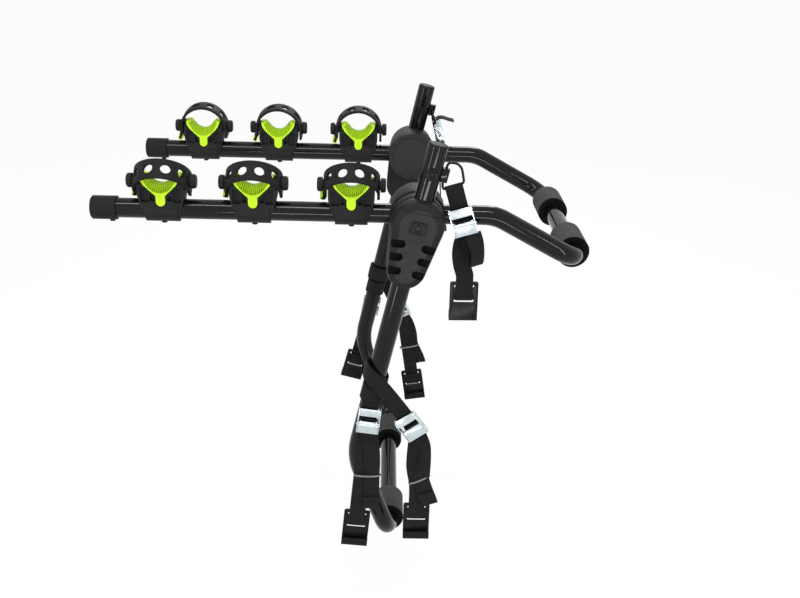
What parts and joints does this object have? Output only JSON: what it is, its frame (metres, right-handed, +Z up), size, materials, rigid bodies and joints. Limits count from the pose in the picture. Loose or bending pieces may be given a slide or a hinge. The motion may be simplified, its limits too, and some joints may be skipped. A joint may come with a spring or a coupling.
{
  "type": "trunk mounted bike rack",
  "caption": "Folding trunk mounted bike rack: two bent tube frames on side hubs, cradles with rubber straps, foam pads and webbing straps with hooks.",
  "frame": {"origin": "middle of the lower crossbar, on its centre line", "axes": "+X towards the vehicle, +Y to the left, +Z up"},
  "size_m": [0.8125, 0.543, 0.7615],
  "materials": {
    "frame_paint": "semi-gloss black powder coat",
    "moulded_plastic": "matte dark grey moulded nylon",
    "button_plastic": "smooth black plastic",
    "foam": "matte closed-cell foam",
    "lime_rubber": "soft lime green rubber",
    "black_rubber": "matte black rubber",
    "elastic": "light grey woven elastic",
    "webbing": "woven black polypropylene",
    "hook_coating": "dipped black vinyl",
    "zinc_steel": "bright zinc plate",
    "black_wire": "black oxide wire"
  },
  "bodies": {
    "lower_frame": {"lower_tube": "frame_paint", "stub_caps": "moulded_plastic", "lower_pad_right": "foam", "lower_pad_left": "foam", "hub_housing_right": "moulded_plastic", "hub_housing_left": "moulded_plastic", "hub_cover_right": "moulded_plastic", "hub_cover_left": "moulded_plastic", "pivot_bolts": "zinc_steel", "pivot_nuts": "zinc_steel", "button_spring_right": "zinc_steel", "button_spring_left": "zinc_steel", "strap_brackets": "frame_paint", "bracket_rivets": "frame_paint", "d_rings": "black_wire", "upper_webbing_right": "webbing", "upper_webbing_left": "webbing", "side_webbing_right": "webbing", "side_webbing_left": "webbing", "lower_webbing_right": "webbing", "lower_webbing_left": "webbing", "buckle_frames": "zinc_steel", "buckle_pins": "zinc_steel", "strap_hooks": "hook_coating", "strap_keepers": "elastic"},
    "upper_frame": {"upper_tube": "frame_paint", "arm_caps": "black_rubber", "cap_screws": "zinc_steel", "upper_pad_right": "foam", "upper_pad_left": "foam", "hub_drum_right": "moulded_plastic", "hub_drum_left": "moulded_plastic", "hub_inner_caps": "moulded_plastic", "pivot_bushes": "zinc_steel", "cradles_right": "moulded_plastic", "cradles_left": "moulded_plastic", "inserts_right": "lime_rubber", "inserts_left": "lime_rubber", "cradle_screws": "zinc_steel"},
    "release_button_right": {"release_button_right": "button_plastic"},
    "release_button_left": {"release_button_left": "button_plastic"},
    "cam_lever_upper_right": {"cam_lever_upper_right": "zinc_steel"},
    "cam_lever_upper_left": {"cam_lever_upper_left": "zinc_steel"},
    "cam_lever_side_right": {"cam_lever_side_right": "zinc_steel"},
    "cam_lever_side_left": {"cam_lever_side_left": "zinc_steel"},
    "cam_lever_lower_right": {"cam_lever_lower_right": "zinc_steel"},
    "cam_lever_lower_left": {"cam_lever_lower_left": "zinc_steel"},
    "rubber_strap_inner_right": {"rubber_strap_inner_right": "black_rubber", "strap_clip_inner_right": "lime_rubber"},
    "rubber_strap_middle_right": {"rubber_strap_middle_right": "black_rubber", "strap_clip_middle_right": "lime_rubber"},
    "rubber_strap_outer_right": {"rubber_strap_outer_right": "black_rubber", "strap_clip_outer_right": "lime_rubber"},
    "rubber_strap_inner_left": {"rubber_strap_inner_left": "black_rubber", "strap_clip_inner_left": "lime_rubber"},
    "rubber_strap_middle_left": {"rubber_strap_middle_left": "black_rubber", "strap_clip_middle_left": "lime_rubber"},
    "rubber_strap_outer_left": {"rubber_strap_outer_left": "black_rubber", "strap_clip_outer_left": "lime_rubber"}
  },
  "joints": [
    {"name": "hub_fold", "type": "hinge", "parent": "lower_frame", "child": "upper_frame", "pos_m": [0.033, 0, 0.605], "axis": [0, -1, 0], "range_deg": [0, 65]},
    {"name": "button_press_right", "type": "slide", "parent": "lower_frame", "child": "release_button_right", "axis": [0, 1, 0], "range_m": [0, 0.0035], "stiffness_N_per_m": 600, "deforming": ["button_spring_right"]},
    {"name": "button_press_left", "type": "slide", "parent": "lower_frame", "child": "release_button_left", "axis": [0, -1, 0], "range_m": [0, 0.0035], "stiffness_N_per_m": 600, "deforming": ["button_spring_left"]},
    {"name": "cam_lift_upper_right", "type": "hinge", "parent": "lower_frame", "child": "cam_lever_upper_right", "pos_m": [0.10536, -0.241, 0.6031], "axis": [-0.9563, 0, -0.2924], "range_deg": [0, 60], "stiffness_Nm_per_rad": 0.08},
    {"name": "cam_lift_upper_left", "type": "hinge", "parent": "lower_frame", "child": "cam_lever_upper_left", "pos_m": [0.09034, 0.2338, 0.63105], "axis": [0, -1, 0], "range_deg": [0, 60], "stiffness_Nm_per_rad": 0.08},
    {"name": "cam_lift_side_right", "type": "hinge", "parent": "lower_frame", "child": "cam_lever_side_right", "pos_m": [-0.03976, -0.2599, 0.25467], "axis": [-0.9925, 0, 0.1219], "range_deg": [0, 60], "stiffness_Nm_per_rad": 0.08},
    {"name": "cam_lift_side_left", "type": "hinge", "parent": "lower_frame", "child": "cam_lever_side_left", "pos_m": [-0.04434, 0.2599, 0.2412], "axis": [0.986, 0, -0.1668], "range_deg": [0, 60], "stiffness_Nm_per_rad": 0.08},
    {"name": "cam_lift_lower_right", "type": "hinge", "parent": "lower_frame", "child": "cam_lever_lower_right", "pos_m": [0.03675, -0.2647, 0.24879], "axis": [-0.807, 0, -0.5906], "range_deg": [0, 60], "stiffness_Nm_per_rad": 0.08},
    {"name": "cam_lift_lower_left", "type": "hinge", "parent": "lower_frame", "child": "cam_lever_lower_left", "pos_m": [0.02147, 0.2647, 0.23169], "axis": [0.907, 0, 0.421], "range_deg": [0, 60], "stiffness_Nm_per_rad": 0.08},
    {"name": "strap_swing_inner_right", "type": "hinge", "parent": "upper_frame", "child": "rubber_strap_inner_right", "pos_m": [-0.072, -0.19, 0.6509], "axis": [1, 0, 0], "range_deg": [-106, 14]},
    {"name": "strap_swing_middle_right", "type": "hinge", "parent": "upper_frame", "child": "rubber_strap_middle_right", "pos_m": [-0.22699, -0.19, 0.6509], "axis": [1, 0, 0], "range_deg": [-106, 14]},
    {"name": "strap_swing_outer_right", "type": "hinge", "parent": "upper_frame", "child": "rubber_strap_outer_right", "pos_m": [-0.3715, -0.19, 0.6509], "axis": [1, 0, 0], "range_deg": [-106, 14]},
    {"name": "strap_swing_inner_left", "type": "hinge", "parent": "upper_frame", "child": "rubber_strap_inner_left", "pos_m": [-0.072, 0.19, 0.6509], "axis": [1, 0, 0], "range_deg": [-67, 53]},
    {"name": "strap_swing_middle_left", "type": "hinge", "parent": "upper_frame", "child": "rubber_strap_middle_left", "pos_m": [-0.22699, 0.19, 0.6509], "axis": [1, 0, 0], "range_deg": [-67, 53]},
    {"name": "strap_swing_outer_left", "type": "hinge", "parent": "upper_frame", "child": "rubber_strap_outer_left", "pos_m": [-0.3715, 0.19, 0.6509], "axis": [1, 0, 0], "range_deg": [-67, 53]}
  ]
}
